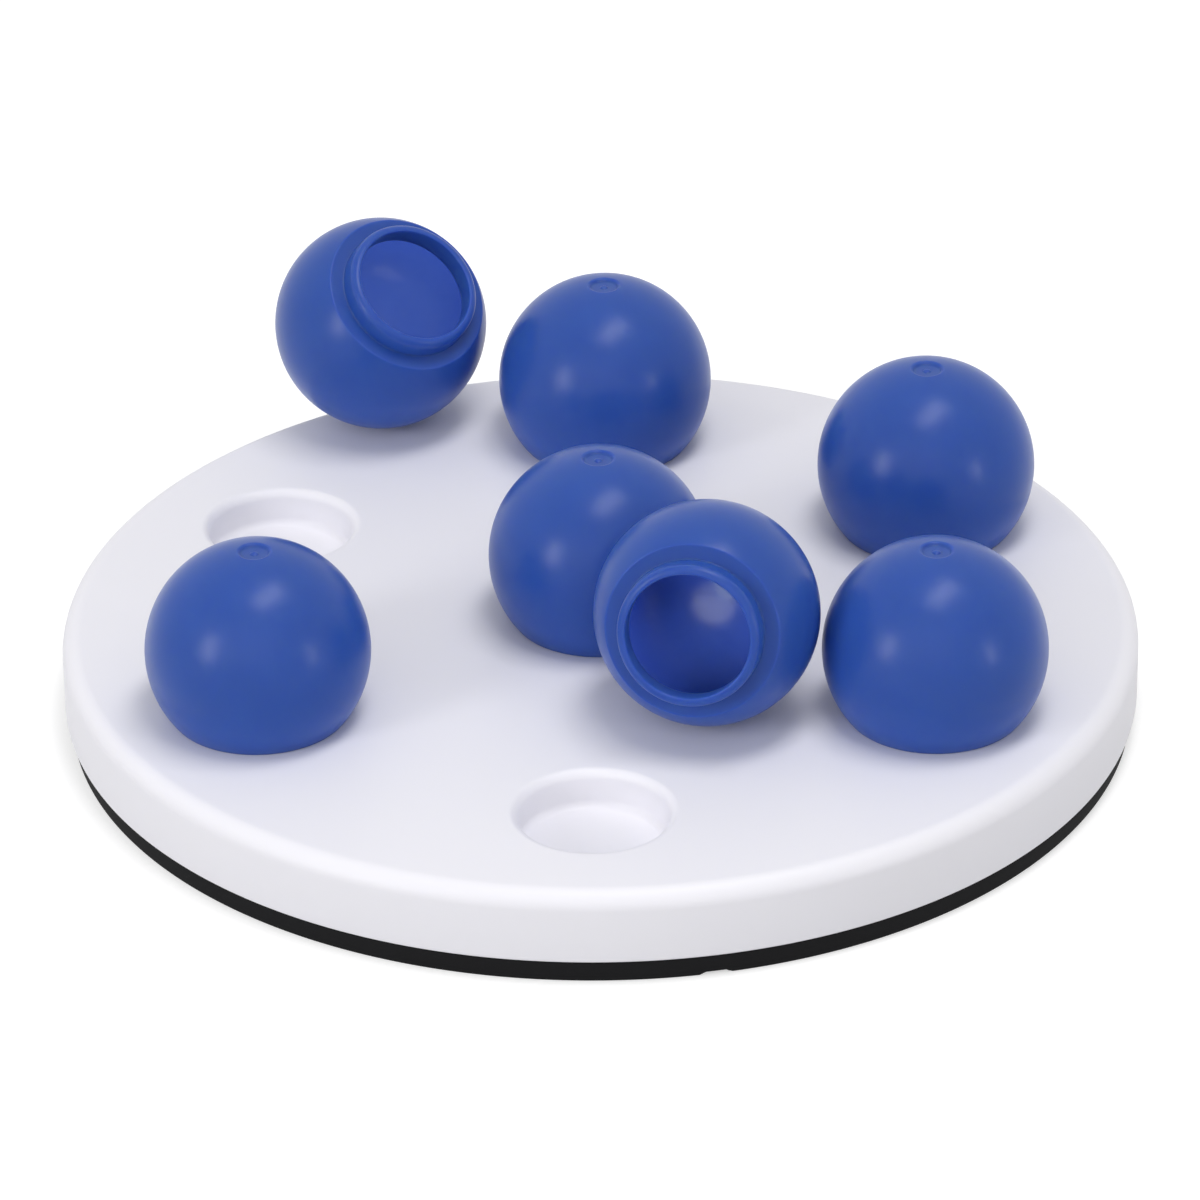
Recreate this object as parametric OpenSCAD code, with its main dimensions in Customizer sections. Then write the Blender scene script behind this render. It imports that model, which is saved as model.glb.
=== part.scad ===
// Pet activity board: a round moulded board with seven treat cups, a rubber grip ring under its rim,
// and seven hollow ball lids. Five lids sit on their cups and two lie on the board beside open cups.
// Millimetres, +Z up, origin on the standing surface under the centre of the board.

/* [Board] */
// Outside diameter of the board
board_d = 290; // [270:1:330]
// Height of the top face above the standing surface
board_h = 26.5; // [24.5:0.5:34]
// Wall thickness of the moulded shell
board_wall = 2.8; // [2.2:0.1:3.4]
// Rounding of the top edge
board_edge_r = 5; // [4:0.25:7]
// Rounding of the skirt's lower edge
skirt_edge_r = 0.8; // [0.4:0.1:1.2]
// Thickness of the stiffening ribs underneath
rib_w = 1.8; // [1.2:0.1:2.6]
// Height of the stiffening ribs underneath
rib_h = 8; // [5:0.5:9]

/* [Cups] */
// Inside diameter of a cup
cup_d = 39.2; // [37:0.2:41]
// Depth of a cup below the top face
cup_depth = 10.4; // [9:0.2:11.5]
// Rounding of a cup's mouth
cup_mouth_r = 2.6; // [1.6:0.1:2.8]
// Rounding between a cup's wall and its floor
cup_floor_r = 2.2; // [1:0.1:4]
// Distance from the board's side in to the centre of each outer cup
cup_inset = 42.4; // [40:0.2:46]

/* [Ball lids] */
// Diameter of a ball lid
ball_d = 59.5; // [57:0.5:61]
// Wall thickness of a ball lid
ball_wall = 2.6; // [2:0.1:3.2]
// Height of a ball's centre above its flat base
ball_seat_h = 18.7; // [17.5:0.1:19.5]
// Rounding of the edge of the flat base
ball_foot_r = 0.6; // [0.3:0.1:1]
// Rounding of the hollow's lower corner
hollow_foot_r = 2; // [1:0.1:3]
// Wall thickness of the collar that drops into a cup
collar_wall = 2.5; // [2:0.1:3]
// Length of the collar below the flat base
collar_len = 6.4; // [4:0.1:8]
// Rounding of the collar's nose inside the mouth
collar_lip_r = 0.5; // [0.3:0.1:0.8]
// Rounding where the mouth opens into the hollow
neck_r = 2.4; // [1:0.1:2.6]
// Side clearance between a collar and its cup
collar_gap = 0.6; // [0.3:0.1:1]
// Diameter of the recess on top of a ball
dimple_d = 8.5; // [6:0.5:11]
// Depth of the recess below its own edge
dimple_depth = 0.9; // [0.5:0.1:1.2]
// Diameter of the moulding nub in the recess
nub_d = 2.4; // [1.4:0.2:3]
// Height of the moulding nub above the recess floor
nub_h = 0.5; // [0.3:0.1:0.7]

/* [Lying balls] */
// Gap under a ball that lies on the board
rest_gap = 0.25; // [0.1:0.05:0.5]
// Side clearance between a lying ball and a ball that is lifted past it
pass_gap = 0.3; // [0.2:0.1:2]
// Bearing of the rear lying ball from the board's centre
rear_bearing = 118.8; // [112:0.2:124]
// Distance from the board's side in to the rear lying ball's centre
rear_inset = 13.6; // [10:0.2:20]
// Compass direction of the rear lying ball's mouth
rear_mouth_az = -50; // [-180:1:180]
// Upward tilt of the rear lying ball's mouth
rear_mouth_el = 48; // [-40:1:80]
// Compass direction of the front lying ball's mouth
front_mouth_az = -102; // [-180:1:180]
// Upward tilt of the front lying ball's mouth
front_mouth_el = 14; // [-40:1:80]

/* [Grip ring] */
// Height of the ring that shows below the board
ring_h = 6.5; // [4.5:0.25:8]
// Distance from the board's side in to the ring
ring_inset = 1.7; // [1:0.1:2.6]
// Width of the ring's foot
ring_w = 8; // [7.5:0.25:12]
// Thickness of the tongue that stands up in the board's groove
tongue_w = 3; // [2:0.1:4]
// Height of the tongue above the foot
tongue_h = 6; // [4:0.5:8]
// Clearance on each side of the tongue
tongue_gap = 0.15; // [0.05:0.05:0.3]
// Rounding of the foot's lower edges
ring_edge_r = 0.8; // [0.4:0.1:1.5]
// Thickness of the groove's inner wall
groove_wall = 2; // [1.4:0.1:3]
// Width of the moulding notch under the ring, at its flat roof
notch_w = 5.2; // [3:0.1:14]
// Height of the moulding notch
notch_h = 1.1; // [0.6:0.1:2]
// Length of the notch's slanted ends
notch_run = 1.7; // [0.5:0.1:3]
// Bearing of the moulding notch
notch_bearing = -77.3; // [-180:0.1:180]

/* [Hidden] */
$fn = 96;
cut = 1;
white = [0.91, 0.92, 0.94];
blue = [0.21, 0.33, 0.65];
black = [0.10, 0.10, 0.11];

// Board: six outer cups stand evenly round the centre cup
board_r = board_d / 2;
cup_r = cup_d / 2;
cup_pitch = board_r - cup_inset;
cup_step = 360 / 6;
back_at = 90;
right_back_at = back_at - cup_step;
right_front_at = right_back_at - cup_step;
front_at = right_front_at - cup_step;
left_front_at = front_at - cup_step;
left_back_at = left_front_at - cup_step;
OUTER_CUPS = [back_at, right_back_at, right_front_at, front_at, left_front_at, left_back_at];
plate_under = board_h - board_wall;
cup_floor_z = board_h - cup_depth;

// Ball: its own frame has the centre of the sphere at the origin and the mouth towards -Z
ball_r = ball_d / 2;
collar_r = cup_r - collar_gap;
mouth_r = collar_r - collar_wall;
collar_nose_r = collar_wall - collar_lip_r;
collar_end = -ball_seat_h - collar_len;
hollow_floor = -ball_seat_h + ball_wall;
dimple_floor = sqrt(ball_r * ball_r - dimple_d * dimple_d / 4) - dimple_depth;
seated_z = board_h + ball_seat_h;
lying_z = board_h + rest_gap + ball_r;
rear_reach = board_r - rear_inset;

// The front lying ball nestles between the centre ball and the right front one, clear of both as they
// are lifted, or lies midway between them where they stand far enough apart
nestle_in = cup_pitch / 2;
nestle_reach = max(ball_d + pass_gap, nestle_in);
nestle_out = sqrt(nestle_reach * nestle_reach - nestle_in * nestle_in);

// Grip ring: its tongue fills the groove between the skirt and the groove's inner wall
ring_r = board_r - ring_inset;
skirt_in = board_r - board_wall;
tongue_r = skirt_in - tongue_gap;
groove_in = tongue_r - tongue_w - tongue_gap;

// A point at a bearing and a distance from the board's centre
function polar(bearing, reach) = [reach * cos(bearing), reach * sin(bearing)];

// Half section of a solid disc of radius r from z0 to z1, with its upper edge rounded
module rounded_plug(r, z0, z1, edge) {
    translate([0, z0]) square([r, z1 - edge - z0]);
    translate([0, z0]) square([r - edge, z1 - z0]);
    translate([r - edge, z1 - edge]) circle(edge);
}

// Half section of the flare that rounds a mouth of radius r opening upwards at z
module rounded_flare(r, z, edge) {
    difference() {
        translate([0, z - edge]) square([r + edge, edge + cut]);
        translate([r + edge, z - edge]) circle(edge);
    }
}

// Half section of a ball cut flat at a distance below its centre, with the edge rounded
module flat_ball(r, seat, edge) {
    edge_z = edge - seat;
    edge_x = sqrt((r - edge) * (r - edge) - edge_z * edge_z);
    meet_z = edge_z * r / (r - edge);
    intersection() {
        circle(r);
        translate([0, meet_z]) square([r, r - meet_z]);
    }
    translate([0, -seat]) square([edge_x, seat + meet_z]);
    translate([edge_x, edge_z]) circle(edge);
}

// Space inside one cup, open at the top face
module cup_space() {
    rotate_extrude() {
        translate([0, cup_floor_z]) square([cup_r - cup_floor_r, cup_depth + cut]);
        translate([0, cup_floor_z + cup_floor_r]) square([cup_r, cup_depth - cup_floor_r + cut]);
        translate([cup_r - cup_floor_r, cup_floor_z + cup_floor_r]) circle(cup_floor_r);
        rounded_flare(cup_r, board_h, cup_mouth_r);
    }
}

// Outside of one cup below the plate
module cup_shell() {
    shell_z = cup_floor_z - board_wall;
    translate([0, 0, shell_z]) cylinder(r = cup_r + board_wall, h = plate_under - shell_z);
}

// One straight stiffening rib between two points under the plate
module rib(from, to) {
    run = to - from;
    translate([from.x, from.y, plate_under - rib_h])
        rotate([0, 0, atan2(run.y, run.x)])
        translate([0, -rib_w / 2, 0]) cube([norm(run), rib_w, rib_h]);
}

// Places of the six outer cups and the centre one
module at_cups() {
    children();
    for (a = OUTER_CUPS) translate(polar(a, cup_pitch)) children();
}

module board_body() {
    rotate_extrude() difference() {
        rounded_plug(board_r, ring_h, board_h, board_edge_r);
        rounded_plug(skirt_in, ring_h - cut, plate_under, board_edge_r - board_wall);
        difference() {
            translate([board_r - skirt_edge_r, ring_h - cut]) square(skirt_edge_r + cut);
            translate([board_r - skirt_edge_r, ring_h + skirt_edge_r]) circle(skirt_edge_r);
            translate([0, ring_h + skirt_edge_r]) square([board_r + cut, cut]);
        }
    }
}

module groove_ring() {
    translate([groove_in - groove_wall, ring_h]) square([groove_wall, plate_under - ring_h]);
}

module board() color(white) difference() {
    union() {
        board_body();
        rotate_extrude() groove_ring();
        at_cups() cup_shell();
        for (a = OUTER_CUPS) {
            rib([0, 0], polar(a, groove_in - groove_wall / 2));
            rib(polar(a, cup_pitch), polar(a + cup_step, cup_pitch));
        }
    }
    at_cups() cup_space();
}

module grip_ring() color(black) difference() {
    rotate_extrude() {
        translate([ring_r - ring_w, ring_edge_r]) square([ring_w, ring_h - ring_edge_r]);
        translate([ring_r - ring_w + ring_edge_r, 0]) square([ring_w - 2 * ring_edge_r, ring_h]);
        for (x = [ring_r - ring_w + ring_edge_r, ring_r - ring_edge_r])
            translate([x, ring_edge_r]) circle(ring_edge_r);
        translate([tongue_r - tongue_w, ring_h]) square([tongue_w, tongue_h]);
    }
    rotate([0, 0, notch_bearing]) translate([ring_r - ring_w - cut, 0, 0])
        rotate([90, 0, 90]) linear_extrude(ring_w + 2 * cut)
        polygon([[-notch_w / 2 - notch_run, 0], [-notch_w / 2, notch_h],
                 [notch_w / 2, notch_h], [notch_w / 2 + notch_run, 0],
                 [notch_w / 2 + notch_run, -cut], [-notch_w / 2 - notch_run, -cut]]);
}

// One ball lid in its own frame
module ball() color(blue) rotate_extrude() {
    difference() {
        union() {
            flat_ball(ball_r, ball_seat_h, ball_foot_r);
            mirror([0, 1]) rounded_plug(collar_r, ball_seat_h - ball_wall, -collar_end, collar_nose_r);
        }
        flat_ball(ball_r - ball_wall, -hollow_floor, hollow_foot_r);
        translate([0, collar_end - cut]) square([mouth_r, hollow_floor - collar_end + 2 * cut]);
        mirror([0, 1]) rounded_flare(mouth_r, -collar_end, collar_lip_r);
        rounded_flare(mouth_r, hollow_floor, neck_r);
        translate([0, dimple_floor]) square([dimple_d / 2, ball_r]);
    }
    translate([0, dimple_floor - nub_h]) square([nub_d / 2, 2 * nub_h]);
}

// A ball sitting on the cup at a place on the board
module seated_ball(place) {
    translate([place.x, place.y, seated_z]) ball();
}

// A ball lying on the board with its mouth turned to a compass direction and tilted up
module lying_ball(place, mouth_az, mouth_el) {
    translate([place.x, place.y, lying_z]) rotate([0, 90 + mouth_el, mouth_az + 180]) ball();
}

module ball_centre() seated_ball([0, 0]);
module ball_back() seated_ball(polar(back_at, cup_pitch));
module ball_right_back() seated_ball(polar(right_back_at, cup_pitch));
module ball_right_front() seated_ball(polar(right_front_at, cup_pitch));
module ball_left_front() seated_ball(polar(left_front_at, cup_pitch));
module ball_lying_rear() lying_ball(polar(rear_bearing, rear_reach), rear_mouth_az, rear_mouth_el);
module ball_lying_front()
    lying_ball(polar(right_front_at, nestle_in) + polar(right_front_at - 90, nestle_out),
               front_mouth_az, front_mouth_el);

board();
grip_ring();
ball_centre();
ball_back();
ball_right_back();
ball_right_front();
ball_left_front();
ball_lying_rear();
ball_lying_front();
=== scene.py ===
"""Looks of a round pet activity board.

A white moulded board with treat cups, a rubber grip ring and blue ball lids, on a plain studio stage.
"""

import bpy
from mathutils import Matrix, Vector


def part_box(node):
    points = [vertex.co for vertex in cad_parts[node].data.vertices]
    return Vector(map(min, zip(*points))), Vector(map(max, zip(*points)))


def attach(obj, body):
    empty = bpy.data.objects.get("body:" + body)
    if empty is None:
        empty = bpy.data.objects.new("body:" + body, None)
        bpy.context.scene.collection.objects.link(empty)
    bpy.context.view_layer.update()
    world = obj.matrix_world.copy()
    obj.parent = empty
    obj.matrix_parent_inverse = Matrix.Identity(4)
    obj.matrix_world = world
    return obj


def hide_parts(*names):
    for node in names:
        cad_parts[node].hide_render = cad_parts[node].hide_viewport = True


bl_info = {
    "name": "Pet activity board",
    "version": (1, 0, 0),
    "blender": (4, 5, 0),
    "location": "View3D > Sidebar > Pet board",
    "description": "Builds the visible pieces of a pet activity board around its CAD frame",
    "category": "Add Mesh",
}

import math

import bmesh
import bpy
from bpy.props import FloatProperty, FloatVectorProperty, IntProperty, PointerProperty
from mathutils import Matrix, Vector

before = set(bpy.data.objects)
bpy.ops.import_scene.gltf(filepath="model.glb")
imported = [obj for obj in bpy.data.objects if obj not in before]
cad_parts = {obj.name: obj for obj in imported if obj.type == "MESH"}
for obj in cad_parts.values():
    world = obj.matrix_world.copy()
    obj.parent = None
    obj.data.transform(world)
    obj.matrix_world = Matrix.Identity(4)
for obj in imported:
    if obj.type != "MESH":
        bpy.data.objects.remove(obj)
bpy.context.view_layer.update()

MM = 0.001
BASE_BODY = "base"
TAB = "Pet board"
SENSOR_MM = 36.0
# An edge is drawn sharp where its two faces turn by more than this
SHARP_ANGLE = math.radians(38)
# A profile point nearer to the axis than this is one vertex and not a ring
ON_AXIS = 1e-9

# Bearings of the cups whose lids are on, from the board's centre; the centre cup has none
SEATED_BALLS = {
    "ball_centre": None,
    "ball_back": 90,
    "ball_right_back": 30,
    "ball_right_front": -30,
    "ball_left_front": -150,
}
OUTER_CUP_BEARINGS = (90, 30, -30, -90, -150, 150)
CUP_STEP = 360 // len(OUTER_CUP_BEARINGS)
# Flat band between a rounding and the fill of the flat face beside it, so that the face shades flat
FLAT_BAND = 0.3 * MM
# How far a rib is let into what it stands on
RIB_ROOT = 0.4 * MM
# Segments round the board's rim, a cup, a cup's outside and the grip ring
RIM_SIDES = 320
CUP_SIDES = 128
CUP_SHELL_SIDES = 96
RING_SIDES = 360
# Steps of the rounding between a lid's mouth and its hollow; the polished hollow starts halfway round it
NECK_STEPS = 14
# Softboxes by name: direction from the board's centre, width and height in metres, power in watts
SOFTBOXES = {
    "left_softbox": ((-0.72, -0.59, 0.36), (0.38, 0.6), 6.5),
    "overhead_softbox": ((0.14, -0.1, 0.98), (0.9, 0.42), 9.6),
    "right_strip": ((0.83, -0.52, 0.22), (0.08, 0.42), 2.4),
    "front_fill": ((-0.12, -0.84, 0.53), (1.6, 1.1), 3.3),
}


def linear(hex_colour):
    """A display colour such as #3A58A0 as linear red, green and blue."""
    parts = [int(hex_colour[i:i + 2], 16) / 255 for i in (1, 3, 5)]
    return tuple(c / 12.92 if c <= 0.04045 else ((c + 0.055) / 1.055) ** 2.4 for c in parts)


def length(name, description, millimetres):
    """A length property that is written in millimetres and kept in metres."""
    return FloatProperty(name=name, description=description, default=millimetres * MM, min=0.0,
                         unit="LENGTH", subtype="DISTANCE", precision=4)


def angle(name, description, degrees):
    """An angle property that is written in degrees."""
    return FloatProperty(name=name, description=description, default=math.radians(degrees), subtype="ANGLE")


def colour(name, description, hex_colour):
    """A colour property that is written as a display colour."""
    return FloatVectorProperty(name=name, description=description, default=linear(hex_colour),
                               size=3, min=0.0, max=1.0, subtype="COLOR")


def factor(name, description, share):
    """A share property from 0 to 1."""
    return FloatProperty(name=name, description=description, default=share, min=0.0, max=1.0,
                         subtype="FACTOR")


def node_mm(node, corner, axis):
    """One coordinate of a CAD node's box, in millimetres."""
    return round(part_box(node)[corner][axis] / MM, 2)


class BoardSettings(bpy.types.PropertyGroup):
    """Sizes and colour of the moulded board."""

    diameter: length("Diameter", "Outside diameter of the board", 2 * node_mm("board", 1, 0))
    top: length("Top", "Height of the top face above the floor", node_mm("board", 1, 2))
    skirt: length("Skirt", "Height of the skirt's lower edge above the floor", node_mm("board", 0, 2))
    wall: length("Wall", "Wall thickness of the moulding", 2.8)
    edge: length("Top edge", "Rounding of the top edge", 5)
    skirt_edge: length("Skirt edge", "Rounding of the skirt's lower edge", 0.8)
    groove: length("Groove", "Width of the groove for the grip ring's tongue", 3.3)
    groove_wall: length("Groove wall", "Thickness of the groove's inner wall", 2)
    rib: length("Rib", "Thickness of a stiffening rib", 1.8)
    rib_height: length("Rib height", "Height of a stiffening rib", 8)
    cup: length("Cup", "Inside diameter of a cup", 39.2)
    cup_depth: length("Cup depth", "Depth of a cup below the top face", 10.4)
    cup_mouth: length("Cup mouth", "Rounding of a cup's mouth", 2.6)
    cup_floor: length("Cup floor", "Rounding between a cup's wall and floor", 2.2)
    cup_bottom: length("Cup bottom", "Rounding of a cup's outside at its bottom", 1)
    cup_reach: length("Cup circle", "Distance from the centre to each outer cup", 102.6)
    tint: colour("Colour", "Colour of the white plastic", "#ECEBF1")


class BallSettings(bpy.types.PropertyGroup):
    """Sizes and colour of the ball lids."""

    diameter: length("Diameter", "Diameter of a ball lid", 59.5)
    wall: length("Wall", "Wall thickness of a ball lid", 2.6)
    seat: length("Seat", "Height of the ball's centre above its flat base", 18.7)
    foot: length("Foot edge", "Rounding of the flat base's edge", 0.6)
    hollow_foot: length("Hollow corner", "Rounding of the hollow's lower corner", 1.5)
    collar: length("Collar", "Outside diameter of the collar", 38)
    collar_wall: length("Collar wall", "Wall thickness of the collar", 2.5)
    collar_length: length("Collar length", "Length of the collar below the flat base", 6.4)
    collar_lip: length("Collar lip", "Rounding of the collar's nose inside the mouth", 0.5)
    collar_root: length("Collar root", "Rounding where the collar meets the flat base", 0.4)
    neck: length("Neck", "Rounding where the mouth opens into the hollow", 4)
    dimple: length("Recess", "Diameter of the recess on top", 8.5)
    dimple_depth: length("Recess depth", "Depth of the recess below its own edge", 0.9)
    dimple_edge: length("Recess edge", "Rounding of the recess's upper and lower edges", 0.9)
    nub: length("Nub", "Diameter of the moulding nub in the recess", 2.4)
    nub_height: length("Nub height", "Height of the nub above the recess floor", 0.5)
    rest_gap: length("Rest gap", "Gap under a lid that lies on the board", 0.25)
    pass_gap: length("Pass gap", "Side clearance beside the front lying lid", 0.3)
    rear_reach: length("Rear reach", "Distance from the centre to the rear lying lid", 131.4)
    rear_bearing: angle("Rear bearing", "Bearing of the rear lying lid", 118.8)
    rear_mouth_turn: angle("Rear mouth turn", "Compass direction of the rear lying lid's mouth", -50)
    rear_mouth_tilt: angle("Rear mouth tilt", "Upward tilt of the rear lying lid's mouth", 48)
    front_mouth_turn: angle("Front mouth turn", "Compass direction of the front lying lid's mouth", -102)
    front_mouth_tilt: angle("Front mouth tilt", "Upward tilt of the front lying lid's mouth", 14)
    sides: IntProperty(name="Sides", description="Segments round a ball lid", default=144, min=24)
    tint: colour("Colour", "Colour of the blue plastic", "#2E54A6")
    glow: colour("Depth colour", "How far each colour travels below the blue plastic's skin", "#8FA8FF")
    depth: length("Depth", "How far light travels below the lids' outer skin", 3)
    rough: factor("Roughness", "Roughness of the lids' outer skin", 0.30)
    sheen: factor("Sheen", "Strength of reflections on the lids' outer skin", 0.2)
    # Drawn lighter than the outer blue: painted light inside the hollow, standing in for light that comes
    # through the thin wall
    hollow_lit_tint: colour("Hollow colour", "Colour of the blue plastic seen inside the hollow", "#4066CE")
    hollow_glow: colour("Hollow depth colour", "How far each colour comes through the wall", "#B8C7FF")
    hollow_depth: length("Hollow depth", "How far light that comes through the wall travels", 25)
    hollow_rough: factor("Hollow roughness", "Roughness of the hollow's polished wall", 0.2)
    hollow_sheen: factor("Hollow sheen", "Strength of reflections on the hollow's polished wall", 0.9)


class RingSettings(bpy.types.PropertyGroup):
    """Sizes and colour of the grip ring."""

    radius: length("Radius", "Outside radius of the ring", node_mm("grip_ring", 1, 0))
    width: length("Width", "Width of the ring's foot", 8)
    height: length("Height", "Height of the foot below the board", node_mm("board", 0, 2))
    edge: length("Edge", "Rounding of the foot's lower edges", 0.8)
    corner: length("Corner", "Rounding of the foot's upper outer corner", 0.25)
    tongue: length("Tongue", "Thickness of the tongue in the board's groove", 3)
    tongue_gap: length("Tongue gap", "Clearance between the tongue and the board's skirt", 0.15)
    tongue_height: length("Tongue height", "Height of the tongue above the foot", 6)
    notch: length("Notch", "Width of the moulding notch at its flat roof", 5.2)
    notch_height: length("Notch height", "Height of the moulding notch", 1.1)
    notch_run: length("Notch ends", "Length of the notch's slanted ends", 1.7)
    notch_bearing: angle("Notch bearing", "Bearing of the moulding notch", -77.3)
    tint: colour("Colour", "Colour of the rubber", "#101012")


class StageSettings(bpy.types.PropertyGroup):
    """Camera, light and floor."""

    camera_x: length("Camera X", "Sideways place of the camera", 36.3)
    camera_back: length("Camera distance", "Distance of the camera in front of the centre", 1689.5)
    camera_z: length("Camera height", "Height of the camera above the floor", 973.7)
    camera_tilt: angle("Camera tilt", "Downward tilt of the camera", 29.15)
    camera_turn: angle("Camera turn", "Turn of the camera to the left", 1.23)
    camera_roll: angle("Camera roll", "Roll of the camera about its own line of sight", -0.71)
    lens: FloatProperty(name="Lens", description="Focal length in millimetres", default=215.4, min=1.0)
    floor: length("Floor", "Side of the square floor", 9000)
    floor_tint: colour("Floor colour", "Colour of the floor and the surroundings", "#FCFCFC")
    floor_share: factor("Floor bounce", "Share of the light that the floor throws back", 0.65)
    floor_lift: factor("Floor lift", "Light added where the floor is seen, to keep it white", 0.55)
    sky: factor("Surround light", "Strength of the even light from all round", 0.51)
    lamp_distance: length("Lamp distance", "Distance of each softbox from the board's centre", 1600)


def add_node(tree, kind, links=None, values=None, **settings):
    """Adds a shader node, sets its properties and socket values, and links outputs to its inputs."""
    made = tree.nodes.new(kind)
    for name, value in settings.items():
        setattr(made, name, value)
    for name, value in (values or {}).items():
        made.inputs[name].default_value = value
    for name, output in (links or {}).items():
        tree.links.new(output, made.inputs[name])
    return made


def new_material(name):
    """An empty node material with its output, as the material, its tree and the output."""
    material = bpy.data.materials.new(name)
    material.use_nodes = True
    material.node_tree.nodes.clear()
    return material, material.node_tree, add_node(material.node_tree, "ShaderNodeOutputMaterial")


def noise(tree, millimetres, detail, distortion=0.0):
    """A noise pattern of that size, fixed to the piece."""
    place = add_node(tree, "ShaderNodeTexCoord").outputs["Object"]
    return add_node(tree, "ShaderNodeTexNoise", {"Vector": place},
                    {"Scale": 1 / (millimetres * MM), "Detail": detail, "Distortion": distortion})


def two_tones(tree, pattern, tint, dark, light):
    """A colour that follows a pattern between a darker and a lighter share of one tint."""
    ramp = add_node(tree, "ShaderNodeValToRGB", {"Fac": pattern.outputs["Fac"]})
    for element, share in zip(ramp.color_ramp.elements, (dark, light)):
        element.color = (*[min(1.0, c * share) for c in tint], 1)
    return ramp.outputs["Color"]


def moulded_skin(tree, pattern, smooth, rough, strength, millimetres):
    """Links that let a shader's roughness and bumps follow one pattern, with bumps of that height."""
    shine = add_node(tree, "ShaderNodeMapRange", {"Value": pattern.outputs["Fac"]},
                     {"To Min": smooth, "To Max": rough})
    bump = add_node(tree, "ShaderNodeBump", {"Height": pattern.outputs["Fac"]},
                    {"Strength": strength, "Distance": millimetres * MM})
    return {"Roughness": shine.outputs["Result"], "Normal": bump.outputs["Normal"]}


def white_polypropylene(tint):
    """Moulded white polypropylene: an even satin from a spark-eroded mould, a soft edge to its shadows."""
    material, tree, output = new_material("moulded_white_polypropylene")
    # The mould's grit is about 0.1 mm; it is drawn at 0.7 mm so that it shows
    grit = noise(tree, 0.7, detail=3.0)
    # Slow drift of the melt's flow, a few centimetres across
    drift = noise(tree, 45, detail=2.0)
    tone = two_tones(tree, drift, tint, dark=0.985, light=1.0)
    skin = moulded_skin(tree, grit, smooth=0.40, rough=0.50, strength=0.12, millimetres=0.03)
    shader = add_node(tree, "ShaderNodeBsdfPrincipled", {"Base Color": tone, **skin},
                      {"IOR": 1.49, "Specular IOR Level": 0.3, "Subsurface Weight": 0.2,
                       "Subsurface Radius": (1.0, 1.0, 1.1), "Subsurface Scale": 1.2 * MM})
    tree.links.new(shader.outputs["BSDF"], output.inputs["Surface"])
    return material


def blue_polyethylene(name, tint, glow, depth, rough, sheen):
    """Moulded soft blue polyethylene: a satin skin over a milky body that light creeps into and through."""
    material, tree, output = new_material(name)
    # Faint orange peel of a soft moulding, about 2.5 mm from bump to bump
    peel = noise(tree, 2.5, detail=2.0)
    # Pigment swirl of the melt, about 20 mm across
    swirl = noise(tree, 20, detail=3.0, distortion=1.5)
    tone = two_tones(tree, swirl, tint, dark=0.94, light=1.05)
    spread = 0.03
    skin = moulded_skin(tree, peel, rough - spread, rough + spread, strength=0.06, millimetres=0.05)
    shader = add_node(tree, "ShaderNodeBsdfPrincipled", {"Base Color": tone, **skin},
                      {"IOR": 1.5, "Specular IOR Level": sheen, "Subsurface Weight": 1.0,
                       "Subsurface Radius": glow, "Subsurface Scale": depth})
    tree.links.new(shader.outputs["BSDF"], output.inputs["Surface"])
    return material


def black_rubber(tint):
    """Moulded black rubber: dull, with a fine dusty grain that breaks up what little shine it has."""
    material, tree, output = new_material("moulded_black_rubber")
    # The grain is about 0.2 mm; it is drawn at 0.6 mm so that it shows
    grain = noise(tree, 0.6, detail=4.0)
    tone = two_tones(tree, grain, tint, dark=0.8, light=1.25)
    skin = moulded_skin(tree, grain, smooth=0.68, rough=0.82, strength=0.35, millimetres=0.06)
    shader = add_node(tree, "ShaderNodeBsdfPrincipled", {"Base Color": tone, **skin},
                      {"IOR": 1.52, "Specular IOR Level": 0.15})
    tree.links.new(shader.outputs["BSDF"], output.inputs["Surface"])
    return material


def arc(centre, radius, start, end, steps):
    """Points on a circle from one angle to another, in degrees, both ends included."""
    points = []
    for i in range(steps + 1):
        a = math.radians(start + (end - start) * i / steps)
        points.append((centre[0] + radius * math.cos(a), centre[1] + radius * math.sin(a)))
    return points


def full_turn(sides):
    """Evenly spaced angles of one turn."""
    return [math.tau * i / sides for i in range(sides)]


def ring_of(bm, point, turns, centre=(0.0, 0.0)):
    """A ring of vertices at a profile point, or one vertex where the point is on the axis."""
    radius, height = point
    if radius < ON_AXIS:
        return [bm.verts.new((centre[0], centre[1], height))]
    return [bm.verts.new((centre[0] + radius * math.cos(a), centre[1] + radius * math.sin(a), height))
            for a in turns]


def bridge(bm, upper, lower):
    """Faces between two neighbouring rings of a turned surface."""
    count = max(len(upper), len(lower))
    for i in range(count):
        j = (i + 1) % count
        if len(upper) == 1:
            bm.faces.new((upper[0], lower[i], lower[j]))
        elif len(lower) == 1:
            bm.faces.new((upper[i], lower[0], upper[j]))
        else:
            bm.faces.new((upper[i], lower[i], lower[j], upper[j]))


def turn_profile(bm, profile, turns, centre=(0.0, 0.0), closed=False):
    """Turns a profile of (radius, height) points about the vertical and returns its rings."""
    rings = [ring_of(bm, point, turns, centre) for point in profile]
    for upper, lower in zip(rings, rings[1:]):
        bridge(bm, upper, lower)
    if closed:
        bridge(bm, rings[-1], rings[0])
    return rings


def ring_edges(bm, ring):
    """The edges that join a ring's vertices in order."""
    edges = []
    for a, b in zip(ring, ring[1:] + ring[:1]):
        edges.append(bm.edges.get((a, b)) or bm.edges.new((a, b)))
    return edges


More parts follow.
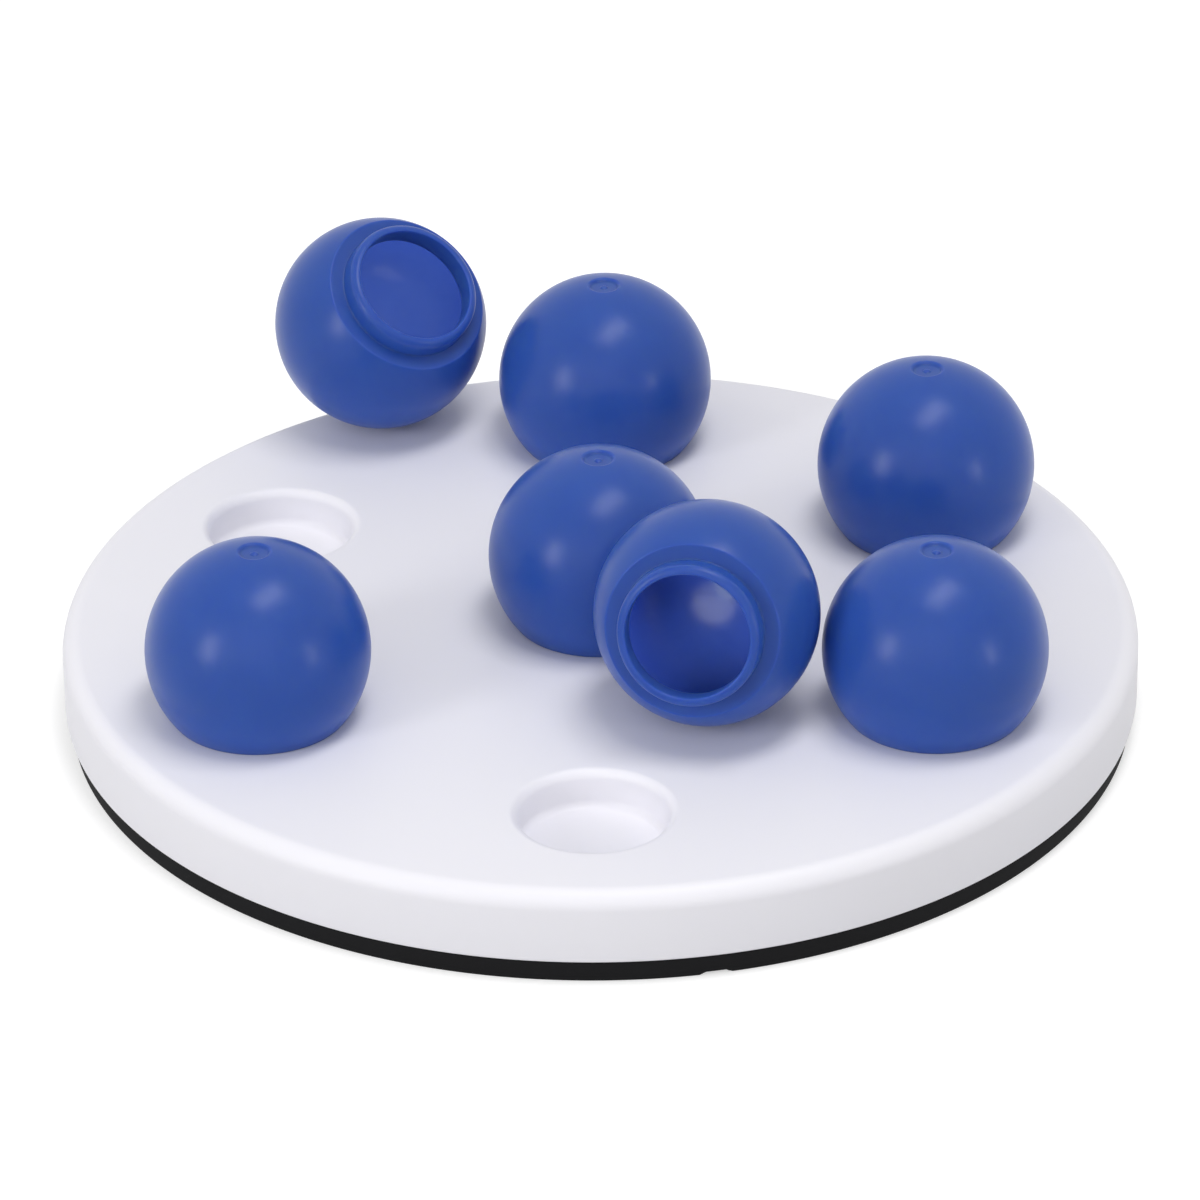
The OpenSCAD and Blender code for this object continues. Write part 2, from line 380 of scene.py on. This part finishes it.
def mesh_from(bm, name):
    """Finishes a bmesh: outward faces, smooth shading and sharp edges where the faces turn hard."""
    bmesh.ops.recalc_face_normals(bm, faces=bm.faces)
    for face in bm.faces:
        face.smooth = True
    for edge in bm.edges:
        edge.smooth = edge.calc_face_angle(0.0) < SHARP_ANGLE
    mesh = bpy.data.meshes.new(name)
    bm.to_mesh(mesh)
    bm.free()
    return mesh


def new_piece(name, mesh, materials):
    """An object for a mesh, with its materials."""
    piece = bpy.data.objects.new(name, mesh)
    bpy.context.scene.collection.objects.link(piece)
    for material in materials:
        mesh.materials.append(material)
    return piece


def on_circle(bearing, reach):
    """A point at a bearing in degrees and a distance from the board's centre."""
    a = math.radians(bearing)
    return Vector((reach * math.cos(a), reach * math.sin(a)))


def cup_places(board):
    """Centres of the seven cups."""
    return [Vector((0.0, 0.0))] + [on_circle(b, board.cup_reach) for b in OUTER_CUP_BEARINGS]


def cup_profile(board):
    """Half section of a cup's skin, from the flat top face to the middle of its floor."""
    wall = board.cup / 2
    floor = board.top - board.cup_depth
    mouth, low = board.cup_mouth, board.cup_floor
    points = [(wall + mouth + FLAT_BAND, board.top)]
    points += arc((wall + mouth, board.top - mouth), mouth, 90, 180, steps=12)
    points += arc((wall - low, floor + low), low, 0, -90, steps=10)
    points += [(wall / 2, floor), (0.0, floor)]
    return points


def cup_shell_profile(board, under):
    """Half section of a cup's outside below the plate, down to the middle of its bottom."""
    wall = board.cup / 2 + board.wall
    bottom = board.top - board.cup_depth - board.wall
    edge = board.cup_bottom
    return [(wall, under)] + arc((wall - edge, bottom + edge), edge, 0, -90, steps=5) + [(0.0, bottom)]


def rim_profile(board, under):
    """Half section of the board's edge, from the top face over the skirt and the groove to the underside."""
    side = board.diameter / 2
    inside = side - board.wall
    groove = inside - board.groove
    groove_in = groove - board.groove_wall
    edge, low, inner_edge = board.edge, board.skirt_edge, board.edge - board.wall
    points = [(side - edge - FLAT_BAND, board.top)]
    points += arc((side - edge, board.top - edge), edge, 90, 0, steps=16)
    points += arc((side - low, board.skirt + low), low, 0, -90, steps=5)
    points += [(inside, board.skirt)]
    points += arc((inside - inner_edge, under - inner_edge), inner_edge, 0, 90, steps=6)
    points += [(groove, under), (groove, board.skirt), (groove_in, board.skirt), (groove_in, under)]
    return points


def rib_mesh(board, under):
    """The stiffening ribs under the plate, each let into what it stands on."""
    wall_reach = board.diameter / 2 - board.wall - board.groove - board.groove_wall / 2
    shell = board.cup / 2 + board.wall - RIB_ROOT
    runs = []
    for bearing in OUTER_CUP_BEARINGS:
        runs.append((on_circle(bearing, shell), on_circle(bearing, board.cup_reach - shell)))
        runs.append((on_circle(bearing, board.cup_reach + shell), on_circle(bearing, wall_reach)))
        here = on_circle(bearing, board.cup_reach)
        there = on_circle(bearing + CUP_STEP, board.cup_reach)
        step = (there - here).normalized() * shell
        runs.append((here + step, there - step))
    bm = bmesh.new()
    for start, end in runs:
        run = end - start
        middle = (start + end) / 2
        size = Matrix.Diagonal((run.length, board.rib, board.rib_height + RIB_ROOT, 1))
        turn = Matrix.Rotation(math.atan2(run.y, run.x), 4, "Z")
        place = Matrix.Translation((middle.x, middle.y, under - (board.rib_height - RIB_ROOT) / 2))
        bmesh.ops.create_cube(bm, size=1, matrix=place @ turn @ size)
    return mesh_from(bm, "ribs")


def join_solids(piece, tool_mesh):
    """Fuses a second closed mesh into a piece, so that the piece stays one closed skin."""
    tool = bpy.data.objects.new("tool", tool_mesh)
    bpy.context.scene.collection.objects.link(tool)
    fuse = piece.modifiers.new("fuse", "BOOLEAN")
    fuse.operation, fuse.solver, fuse.object = "UNION", "EXACT", tool
    fused = bpy.data.meshes.new_from_object(piece.evaluated_get(bpy.context.evaluated_depsgraph_get()))
    piece.modifiers.clear()
    piece.data = fused
    bpy.data.objects.remove(tool)


class PETBOARD_OT_board(bpy.types.Operator):
    """Builds the white board with its cups, skirt, groove and ribs"""

    bl_idname = "pet_board.board"
    bl_label = "Board"

    def execute(self, context):
        board = context.scene.pet_board_board
        under = board.top - board.wall
        bm = bmesh.new()
        rim = turn_profile(bm, rim_profile(board, under), full_turn(RIM_SIDES))
        top_edges, under_edges = ring_edges(bm, rim[0]), ring_edges(bm, rim[-1])
        for place in cup_places(board):
            cup = turn_profile(bm, cup_profile(board), full_turn(CUP_SIDES), place)
            shell = turn_profile(bm, cup_shell_profile(board, under), full_turn(CUP_SHELL_SIDES), place)
            top_edges += ring_edges(bm, cup[0])
            under_edges += ring_edges(bm, shell[0])
        bmesh.ops.triangle_fill(bm, edges=top_edges, use_beauty=True, normal=(0, 0, 1))
        bmesh.ops.triangle_fill(bm, edges=under_edges, use_beauty=True, normal=(0, 0, -1))
        piece = new_piece("board_shell", mesh_from(bm, "board_shell"), [white_polypropylene(board.tint)])
        join_solids(piece, rib_mesh(board, under))
        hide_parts("board")
        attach(piece, BASE_BODY)
        return {"FINISHED"}


def ring_profile(ring, board):
    """Closed half section of the grip ring: its foot, and the tongue that goes up into the board's groove."""
    inner = ring.radius - ring.width
    tongue_out = board.diameter / 2 - board.wall - ring.tongue_gap
    tongue_in = tongue_out - ring.tongue
    tongue_top = ring.height + ring.tongue_height
    points = arc((ring.radius - ring.edge, ring.edge), ring.edge, -90, 0, steps=6)
    points += arc((ring.radius - ring.corner, ring.height - ring.corner), ring.corner, 0, 90, steps=3)
    points += [(tongue_out, ring.height), (tongue_out, tongue_top)]
    points += [(tongue_in, tongue_top), (tongue_in, ring.height), (inner, ring.height)]
    points += arc((inner + ring.edge, ring.edge), ring.edge, 180, 270, steps=6)
    return points


class PETBOARD_OT_grip_ring(bpy.types.Operator):
    """Builds the black rubber grip ring with its tongue and moulding notch"""

    bl_idname = "pet_board.grip_ring"
    bl_label = "Grip ring"

    def execute(self, context):
        ring = context.scene.pet_board_ring
        # Half of the notch's roof and the slant at its end, as angles about the board's centre
        half = ring.notch / 2 / ring.radius
        run = ring.notch_run / ring.radius
        marks = [ring.notch_bearing + a for a in (-half - run, -half, half, half + run)]
        turns = sorted(set(full_turn(RING_SIDES)) | {a % math.tau for a in marks})
        bm = bmesh.new()
        turn_profile(bm, ring_profile(ring, context.scene.pet_board_board), turns, closed=True)
        for vert in bm.verts:
            bearing = math.atan2(vert.co.y, vert.co.x) - ring.notch_bearing
            off = abs((bearing + math.pi) % math.tau - math.pi)
            roof = ring.notch_height * min(1.0, (half + run - off) / run)
            vert.co.z = max(vert.co.z, roof)
        piece = new_piece("grip_ring_rubber", mesh_from(bm, "grip_ring_rubber"), [black_rubber(ring.tint)])
        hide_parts("grip_ring")
        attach(piece, BASE_BODY)
        return {"FINISHED"}


def flat_ball_edge(radius, seat, edge):
    """Centre of the rounding between a ball and its flat base, and the angle where it meets the ball."""
    height = edge - seat
    reach = math.sqrt((radius - edge) ** 2 - height ** 2)
    return (reach, height), math.degrees(math.atan2(height, reach))


def recess_profile(ball):
    """Half section of the nub and the recess on top, and the angle where it runs out into the ball."""
    radius = ball.diameter / 2
    edge = ball.dimple_edge
    rim = ball.dimple / 2
    floor = math.sqrt(radius ** 2 - rim ** 2) - ball.dimple_depth
    nub, nub_top = ball.nub / 2, floor + ball.nub_height
    dome = (nub ** 2 + ball.nub_height ** 2) / (2 * ball.nub_height)
    dome_angle = math.degrees(math.acos(nub / dome))
    points = [(0.0, nub_top)] + arc((0.0, nub_top - dome), dome, 90, dome_angle, steps=6)[1:]
    # The recess rises in two equal arcs that meet halfway
    outer = (rim + edge / 2, math.sqrt((radius - edge) ** 2 - (rim + edge / 2) ** 2))
    slope = math.acos((floor + edge - outer[1]) / (2 * edge))
    steep, rim_angle = math.degrees(slope), math.degrees(math.atan2(outer[1], outer[0]))
    points += arc((outer[0] - 2 * edge * math.sin(slope), floor + edge), edge, -90, steep - 90, steps=6)
    points += arc(outer, edge, 90 + steep, rim_angle, steps=8)[1:]
    return points, rim_angle


def collar_profile(ball):
    """Half section of the collar, from its root on the flat base round its nose into the mouth."""
    collar, root, lip = ball.collar / 2, ball.collar_root, ball.collar_lip
    end = -ball.seat - ball.collar_length
    nose = ball.collar_wall - lip
    mouth = collar - ball.collar_wall
    points = arc((collar + root, -ball.seat - root), root, 90, 180, steps=4)
    points += arc((collar - nose, end + nose), nose, 0, -90, steps=10)
    points += arc((mouth + lip, end + lip), lip, -90, -180, steps=4)[1:]
    return points


def outside_profile(ball):
    """Half section of a ball lid's outside, from the nub on top to the mouth."""
    points, rim_angle = recess_profile(ball)
    radius = ball.diameter / 2
    foot, foot_angle = flat_ball_edge(radius, ball.seat, ball.foot)
    points += arc((0.0, 0.0), radius, rim_angle, foot_angle, steps=72)[1:]
    points += arc(foot, ball.foot, foot_angle, -90, steps=6)[1:]
    return points + collar_profile(ball)


def hollow_profile(ball):
    """Half section of a ball lid's hollow, from the mouth over the neck up to the roof."""
    mouth = ball.collar / 2 - ball.collar_wall
    radius = ball.diameter / 2 - ball.wall
    seat = ball.seat - ball.wall
    points = arc((mouth + ball.neck, -seat - ball.neck), ball.neck, 180, 90, NECK_STEPS)
    corner, corner_angle = flat_ball_edge(radius, seat, ball.hollow_foot)
    points += arc(corner, ball.hollow_foot, -90, corner_angle, steps=6)
    points += arc((0.0, 0.0), radius, corner_angle, 90, steps=56)[1:-1]
    return points + [(0.0, radius)]


def ball_places(board, ball):
    """Where each ball lid stands or lies, as a matrix for each node's name."""
    places = {}
    for name, bearing in SEATED_BALLS.items():
        spot = Vector((0.0, 0.0)) if bearing is None else on_circle(bearing, board.cup_reach)
        places[name] = Matrix.Translation((spot.x, spot.y, board.top + ball.seat))
    rear = on_circle(math.degrees(ball.rear_bearing), ball.rear_reach)
    # The front lying lid nestles between the centre lid and the right front one, as far from both
    right_front = SEATED_BALLS["ball_right_front"]
    half_way = board.cup_reach / 2
    out = math.sqrt((ball.diameter + ball.pass_gap) ** 2 - half_way ** 2)
    front = on_circle(right_front, half_way) + on_circle(right_front - 90, out)
    lying = {
        "ball_lying_rear": (rear, ball.rear_mouth_turn, ball.rear_mouth_tilt),
        "ball_lying_front": (front, ball.front_mouth_turn, ball.front_mouth_tilt),
    }
    height = board.top + ball.rest_gap + ball.diameter / 2
    for name, (spot, turn, tilt) in lying.items():
        lean = Matrix.Rotation(math.pi + turn, 4, "Z") @ Matrix.Rotation(math.pi / 2 + tilt, 4, "Y")
        places[name] = Matrix.Translation((spot.x, spot.y, height)) @ lean
    return places


class PETBOARD_OT_ball_lids(bpy.types.Operator):
    """Builds the seven blue ball lids, five on their cups and two lying on the board"""

    bl_idname = "pet_board.ball_lids"
    bl_label = "Ball lids"

    def execute(self, context):
        ball = context.scene.pet_board_ball
        outer = blue_polyethylene("satin_moulded_blue_polyethylene", ball.tint, ball.glow, ball.depth,
                                  ball.rough, ball.sheen)
        # The hollow is shaped on a polished core, so it mirrors the white surroundings through its mouth. Its
        # blue is drawn lighter than the outside's: painted light that stands in for the light coming through
        # the thin wall.
        inner = blue_polyethylene("core_polished_blue_polyethylene_with_painted_glow", ball.hollow_lit_tint, ball.hollow_glow,
                                  ball.hollow_depth, ball.hollow_rough, ball.hollow_sheen)
        outside, inside = outside_profile(ball), hollow_profile(ball)
        for node, place in ball_places(context.scene.pet_board_board, ball).items():
            bm = bmesh.new()
            rings = turn_profile(bm, outside + inside, full_turn(ball.sides))
            hollow = {vert for ring in rings[len(outside) + NECK_STEPS // 2:] for vert in ring}
            for face in bm.faces:
                face.material_index = int(hollow.issuperset(face.verts))
            bm.transform(place.to_3x3().to_4x4())
            piece = new_piece(node + "_lid", mesh_from(bm, node + "_lid"), [outer, inner])
            piece.matrix_world = Matrix.Translation(place.to_translation())
            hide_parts(node)
            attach(piece, node)
        return {"FINISHED"}


def seen_directly(tree):
    """An output that is 1 for what the eye meets straight, mirrored or through a clear body, and else 0."""
    path = add_node(tree, "ShaderNodeLightPath")
    seen = path.outputs["Is Camera Ray"]
    for kind in ("Is Glossy Ray", "Is Transmission Ray"):
        larger = add_node(tree, "ShaderNodeMath", {0: seen, 1: path.outputs[kind]}, operation="MAXIMUM")
        seen = larger.outputs[0]
    return seen


def studio_floor(tint, share, lift):
    """Matt studio paper: looks white, keeps a soft shadow, and throws only part of the light back up."""
    material, tree, output = new_material("matt_studio_paper")
    paper = add_node(tree, "ShaderNodeBsdfDiffuse", None, {"Color": (*[c * share for c in tint], 1)})
    lifted = add_node(tree, "ShaderNodeMapRange", {"Value": seen_directly(tree)}, {"To Max": lift})
    glow = add_node(tree, "ShaderNodeEmission", {"Strength": lifted.outputs["Result"]}, {"Color": (*tint, 1)})
    both = add_node(tree, "ShaderNodeAddShader", {0: paper.outputs["BSDF"], 1: glow.outputs["Emission"]})
    tree.links.new(both.outputs["Shader"], output.inputs["Surface"])
    return material


def softbox(name, toward, distance, size, power):
    """A softbox at a direction from the board's centre, aimed back at it."""
    lamp = bpy.data.lights.new(name, "AREA")
    lamp.shape = "RECTANGLE"
    lamp.size, lamp.size_y = size
    lamp.energy = power
    stand = bpy.data.objects.new(name, lamp)
    bpy.context.scene.collection.objects.link(stand)
    direction = Vector(toward).normalized()
    stand.location = direction * distance
    stand.rotation_euler = direction.to_track_quat("Z", "Y").to_euler()


def lay_floor(scene, stage):
    """A wide sheet of studio paper under the board."""
    bm = bmesh.new()
    bmesh.ops.create_grid(bm, x_segments=1, y_segments=1, size=stage.floor / 2)
    floor = bpy.data.objects.new("studio_floor", mesh_from(bm, "studio_floor"))
    scene.collection.objects.link(floor)
    floor.data.materials.append(studio_floor(stage.floor_tint, stage.floor_share, stage.floor_lift))


def light_surround(scene, stage):
    """A world that looks white but lights the board only softly."""
    world = bpy.data.worlds.new("even_surround")
    world.use_nodes = True
    tree = world.node_tree
    tree.nodes.clear()
    strength = add_node(tree, "ShaderNodeMapRange", {"Value": seen_directly(tree)},
                        {"To Min": stage.sky, "To Max": 1.0})
    light = add_node(tree, "ShaderNodeBackground", {"Strength": strength.outputs["Result"]},
                     {"Color": (*stage.floor_tint, 1)})
    add_node(tree, "ShaderNodeOutputWorld", {"Surface": light.outputs["Background"]})
    scene.world = world


def place_camera(scene, stage):
    """The photo's camera, in front of the board and looking down at it."""
    camera = bpy.data.cameras.new("photo_camera")
    camera.sensor_width = SENSOR_MM
    camera.lens = stage.lens
    eye = bpy.data.objects.new("photo_camera", camera)
    scene.collection.objects.link(eye)
    aim = Matrix.Rotation(stage.camera_turn, 4, "Z")
    aim @= Matrix.Rotation(math.pi / 2 - stage.camera_tilt, 4, "X")
    aim @= Matrix.Rotation(stage.camera_roll, 4, "Z")
    eye.matrix_world = Matrix.Translation((stage.camera_x, -stage.camera_back, stage.camera_z)) @ aim
    scene.camera = eye


class PETBOARD_OT_stage(bpy.types.Operator):
    """Sets the floor, the soft studio light and the camera"""

    bl_idname = "pet_board.stage"
    bl_label = "Stage"

    def execute(self, context):
        scene = context.scene
        stage = scene.pet_board_stage
        lay_floor(scene, stage)
        light_surround(scene, stage)
        for name, (toward, size, power) in SOFTBOXES.items():
            softbox(name, toward, stage.lamp_distance, size, power)
        place_camera(scene, stage)
        scene.view_settings.view_transform = "Standard"
        return {"FINISHED"}


class PETBOARD_PT_panel(bpy.types.Panel):
    """Lists the board's pieces and their settings"""

    bl_idname = "PETBOARD_PT_panel"
    bl_label = "Pet activity board"
    bl_space_type = "VIEW_3D"
    bl_region_type = "UI"
    bl_category = TAB

    def draw(self, context):
        for maker, settings in PIECES:
            box = self.layout.box()
            box.operator(maker.bl_idname)
            group = getattr(context.scene, settings)
            for name in group.__annotations__:
                box.prop(group, name)


PIECES = (
    (PETBOARD_OT_board, "pet_board_board"),
    (PETBOARD_OT_grip_ring, "pet_board_ring"),
    (PETBOARD_OT_ball_lids, "pet_board_ball"),
    (PETBOARD_OT_stage, "pet_board_stage"),
)
GROUPS = {
    "pet_board_board": BoardSettings,
    "pet_board_ring": RingSettings,
    "pet_board_ball": BallSettings,
    "pet_board_stage": StageSettings,
}


def register():
    for name, group in GROUPS.items():
        bpy.utils.register_class(group)
        setattr(bpy.types.Scene, name, PointerProperty(type=group))
    for maker, _ in PIECES:
        bpy.utils.register_class(maker)
    bpy.utils.register_class(PETBOARD_PT_panel)


def unregister():
    bpy.utils.unregister_class(PETBOARD_PT_panel)
    for maker, _ in reversed(PIECES):
        bpy.utils.unregister_class(maker)
    for name, group in GROUPS.items():
        delattr(bpy.types.Scene, name)
        bpy.utils.unregister_class(group)


def main():
    register()
    bpy.ops.pet_board.board()
    bpy.ops.pet_board.grip_ring()
    bpy.ops.pet_board.ball_lids()
    bpy.ops.pet_board.stage()


if __name__ == "__main__":
    main()
